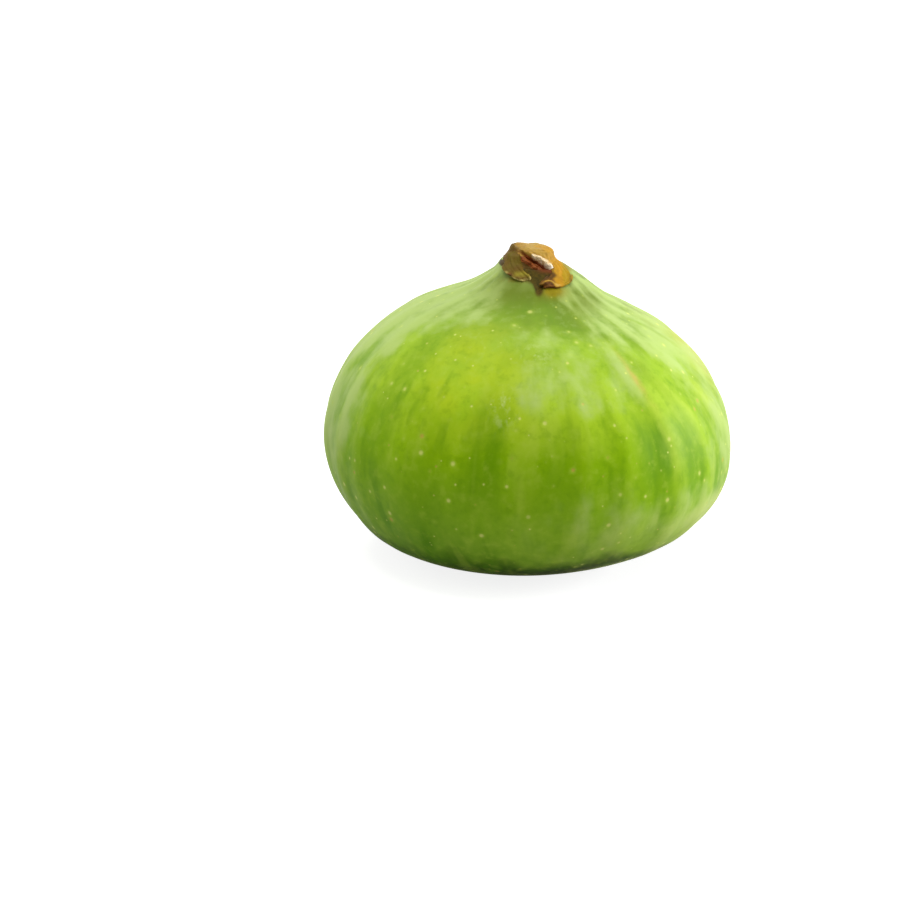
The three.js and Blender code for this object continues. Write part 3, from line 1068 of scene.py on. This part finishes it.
def make_bract(node, number, dried):
    """A thin scale that grows out of the stalk and hugs the neck, with a ragged edge that stands off."""
    middle, half_angle, level, sweep, skew, curl, curl_at, tucked = BRACTS[node]
    down, side = np.meshgrid(np.linspace(0, 1, BRACT_ROWS), np.linspace(-1, 1, BRACT_COLUMNS), indexing="ij")
    own = np.stack([side * 4, down * 3, 0 * side + 9 * number], axis=-1)
    ragged = waves(own * (1, 0, 1), "bract edge")
    drop = down * (1 - BRACT_CORNER * np.abs(side) ** BRACT_ROUNDING + skew * side + ragged)
    height = between(level, drop)
    azimuth = between(middle, drop ** sweep) + between(half_angle, drop) * side
    lift = curl * down ** 3 * (bell((side - curl_at) / 0.6) + 0.2)
    crinkle = waves(own, "bract crinkle") * (0.4 + down)
    sides = smooth(np.abs(side), 0.7, 1) * smooth(down, 1.05, 0.7)
    sunk = BRACT_SUNK * smooth(down, 0.25, 0) + BRACT_SUNK * sides
    sunk = sunk + tucked * smooth(side, 0.5, 1) * smooth(down, 0.3, 0.8)
    thickness = dried.bract_thickness / MM * (0.8 + 0.4 * bell((down - 0.93) / 0.05))
    thickness = thickness * (1 - 0.7 * smooth(down, 0.96, 1)) * (1 - 0.6 * smooth(np.abs(side), 0.85, 1))
    outward = math.radians(BRACT_OUTWARD)

    def face(off):
        return put_in_place(
            clasped_radius(height) + off * math.cos(outward), height + off * math.sin(outward), azimuth
        )

    base = BRACT_STAND_OFF + lift + crinkle - sunk
    place = np.stack([side, down, 0 * side + number], axis=-1)
    outer = face(base + thickness)
    notes = {note: (values, 0.5 * values) for note, values in bract_notes(node, down, side, outer).items()}
    notes["scale_place"] = (place, place)
    return sheet_piece("dried_" + node, outer, face(base), notes)


class FIG_OT_bracts(Operator):
    """Makes the three dried bracts that clasp the neck below the stalk"""

    bl_idname = "fig.bracts"
    bl_label = "Bracts"

    def execute(self, context):
        dried = context.scene.fig_dried
        finish = bract_finish(dried)
        for number, node in enumerate(BRACTS):
            piece = make_bract(node, number, dried)
            join_to_fig(piece, node, finish)
        return {"FINISHED"}


# ---- Stage ----


# The fig stands right of the picture's middle and a little below it. In widths and heights of the fig, these
# are how far left of its middle and how far up the camera looks, and how wide the picture is.
CAMERA_LEFT = 0.1913
CAMERA_UP = 0.3469
PICTURE_WIDTH = 2.2192
SENSOR_WIDTH = 36

FLOOR_REACH = 4
FLOOR_COLOUR = (0.5, 0.5, 0.5, 1)
FLOOR_GLOW = 0.84

# Soft lights, as (name, place from the middle of the fruit, size), in metres.
SOFTBOXES = [
    ("overhead_softbox", (-0.03, 0.03, 0.45), 0.5),
    ("right_softbox", (0.45, 0.06, 0.09), 0.2),
    ("left_softbox", (-0.45, 0.15, 0.2), 0.35),
]
LEFT_LIGHT_SHARE = 0.14
WHITE = (1, 1, 1, 1)


def seen_by(finish, *kinds):
    """1 for rays of these kinds and 0 for the rest."""
    rays = finish.node("LightPath")
    seen = 0
    for kind in kinds:
        seen = finish.maths("MAXIMUM", seen, rays.beside(kind))
    return seen


def add_softbox(name, place, target, size, power):
    lamp = bpy.data.lights.new(name, "AREA")
    lamp.shape = "DISK"
    lamp.size = size
    lamp.energy = power
    softbox = bpy.data.objects.new(name, lamp)
    softbox.location = place
    softbox.rotation_euler = (target - place).to_track_quat("-Z", "Y").to_euler()
    softbox.visible_camera = False
    bpy.context.scene.collection.objects.link(softbox)


class FIG_OT_stage(Operator):
    """Sets up the camera, a plain pale floor, soft studio light and a white surround"""

    bl_idname = "fig.stage"
    bl_label = "Stage"

    def execute(self, context):
        stage = context.scene.fig_stage
        self.add_camera(context.scene, stage)
        self.add_floor()
        self.light(context.scene, stage)
        context.scene.view_settings.view_transform = "Standard"
        return {"FINISHED"}

    def add_camera(self, scene, stage):
        wide = FRUIT_HIGH.x - FRUIT_LOW.x
        across = (FRUIT_LOW.x + FRUIT_HIGH.x) / 2 - CAMERA_LEFT * wide
        target = Vector((across, SHIFT[1] * MM, CAMERA_UP * FRUIT_HIGH.z))
        back = Vector((0, -math.cos(stage.camera_elevation), math.sin(stage.camera_elevation)))
        data = bpy.data.cameras.new("camera")
        data.sensor_width = SENSOR_WIDTH
        data.lens = SENSOR_WIDTH * stage.camera_distance / (PICTURE_WIDTH * wide)
        camera = bpy.data.objects.new("camera", data)
        camera.location = target + back * stage.camera_distance
        camera.rotation_euler = (-back).to_track_quat("-Z", "Y").to_euler()
        scene.collection.objects.link(camera)
        scene.camera = camera

    def add_floor(self):
        mesh = bpy.data.meshes.new("floor")
        corners = [(x * FLOOR_REACH, y * FLOOR_REACH, 0) for x, y in ((-1, -1), (1, -1), (1, 1), (-1, 1))]
        mesh.from_pydata(corners, [], [(0, 1, 2, 3)])
        floor = bpy.data.objects.new("floor", mesh)
        bpy.context.scene.collection.objects.link(floor)
        material, finish = new_finish("pale_floor_finish")
        pale = finish.node("BsdfDiffuse", None, {"Color": FLOOR_COLOUR})
        strength = seen_by(finish, "Is Camera Ray") * FLOOR_GLOW
        glow = finish.node("Emission", None, {"Color": WHITE, "Strength": strength})
        finish.close(finish.node("AddShader", None, {0: pale, 1: glow}))
        mesh.materials.append(material)

    def light(self, scene, stage):
        middle = (FRUIT_LOW + FRUIT_HIGH) / 2
        powers = (stage.key_power, stage.side_power, stage.side_power * LEFT_LIGHT_SHARE)
        for (name, place, size), power in zip(SOFTBOXES, powers):
            add_softbox(name, middle + Vector(place), middle, size, power)
        world = bpy.data.worlds.new("white_surround")
        scene.world = world
        finish = Finish(world)
        seen = seen_by(finish, "Is Camera Ray", "Is Glossy Ray", "Is Transmission Ray")
        strength = seen * (1 - stage.surround) + stage.surround
        glow = finish.node("Background", None, {"Color": WHITE, "Strength": strength})
        finish.close(glow, "OutputWorld")


class FIG_PT_panel(Panel):
    """Lists what makes the fig's pieces and the stage, and their settings"""

    bl_idname = "FIG_PT_panel"
    bl_label = "Green fig"
    bl_space_type = "VIEW_3D"
    bl_region_type = "UI"
    bl_category = "Fig"

    def draw(self, context):
        for maker in MAKERS:
            self.layout.operator(maker.bl_idname)
        for name in SETTINGS:
            group = getattr(context.scene, name)
            for setting in group.bl_rna.properties.keys():
                if setting not in ("rna_type", "name"):
                    self.layout.prop(group, setting)


SETTINGS = {"fig_skin": FIG_skin_settings, "fig_dried": FIG_dried_settings, "fig_stage": FIG_stage_settings}
MAKERS = [FIG_OT_stage, FIG_OT_fruit, FIG_OT_stalk, FIG_OT_bracts]


def register():
    for kind in [*SETTINGS.values(), *MAKERS, FIG_PT_panel]:
        bpy.utils.register_class(kind)
    for name, kind in SETTINGS.items():
        setattr(bpy.types.Scene, name, PointerProperty(type=kind))


def unregister():
    for name in SETTINGS:
        delattr(bpy.types.Scene, name)
    for kind in [FIG_PT_panel, *reversed(MAKERS), *reversed(SETTINGS.values())]:
        bpy.utils.unregister_class(kind)


def main():
    register()
    bpy.ops.fig.stage()
    bpy.ops.fig.fruit()
    bpy.ops.fig.stalk()
    bpy.ops.fig.bracts()


if __name__ == "__main__":
    main()
